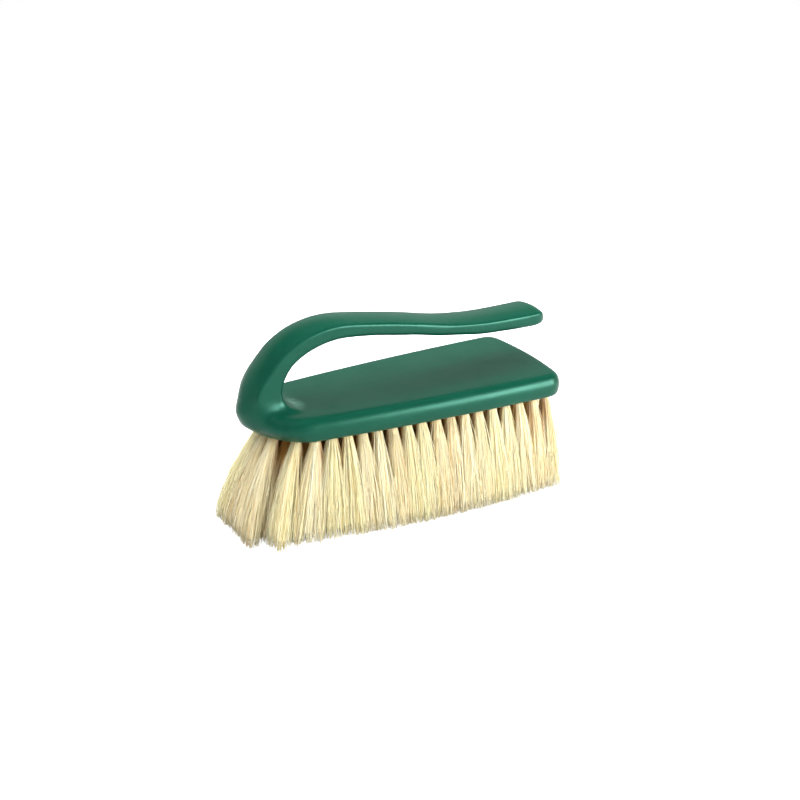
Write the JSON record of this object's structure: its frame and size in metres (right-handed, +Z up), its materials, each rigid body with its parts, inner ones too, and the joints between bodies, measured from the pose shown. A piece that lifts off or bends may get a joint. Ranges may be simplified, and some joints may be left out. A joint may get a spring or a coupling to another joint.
{
  "type": "grooming brush",
  "caption": "Livestock grooming brush: a moulded block with an iron-style handle rising from its nose, set with rows of splayed natural fibre tufts",
  "frame": {"origin": "centre of the footprint, on the plane that the trimmed fibre tips stand on", "axes": "+X from the nose, where the handle rises, to the free end; +Y across the block; +Z up, from the tips to the handle"},
  "size_m": [0.2034, 0.0898, 0.1173],
  "materials": {
    "block": "satin moulded green plastic, coloured through",
    "fibre": "undyed cream plant fibre, matt, trimmed at the tips"
  },
  "bodies": {
    "root": {"block_handle": "block", "tuft_row_01": "fibre", "tuft_row_02": "fibre", "tuft_row_03": "fibre", "tuft_row_04": "fibre", "tuft_row_05": "fibre", "tuft_row_06": "fibre", "tuft_row_07": "fibre", "tuft_row_08": "fibre", "tuft_row_09": "fibre", "tuft_row_10": "fibre", "tuft_row_11": "fibre", "tuft_row_12": "fibre", "tuft_row_13": "fibre", "tuft_row_14": "fibre", "tuft_row_15": "fibre", "tuft_row_16": "fibre", "tuft_row_17": "fibre", "tuft_row_18": "fibre", "tuft_row_19": "fibre"}
  },
  "joints": []
}
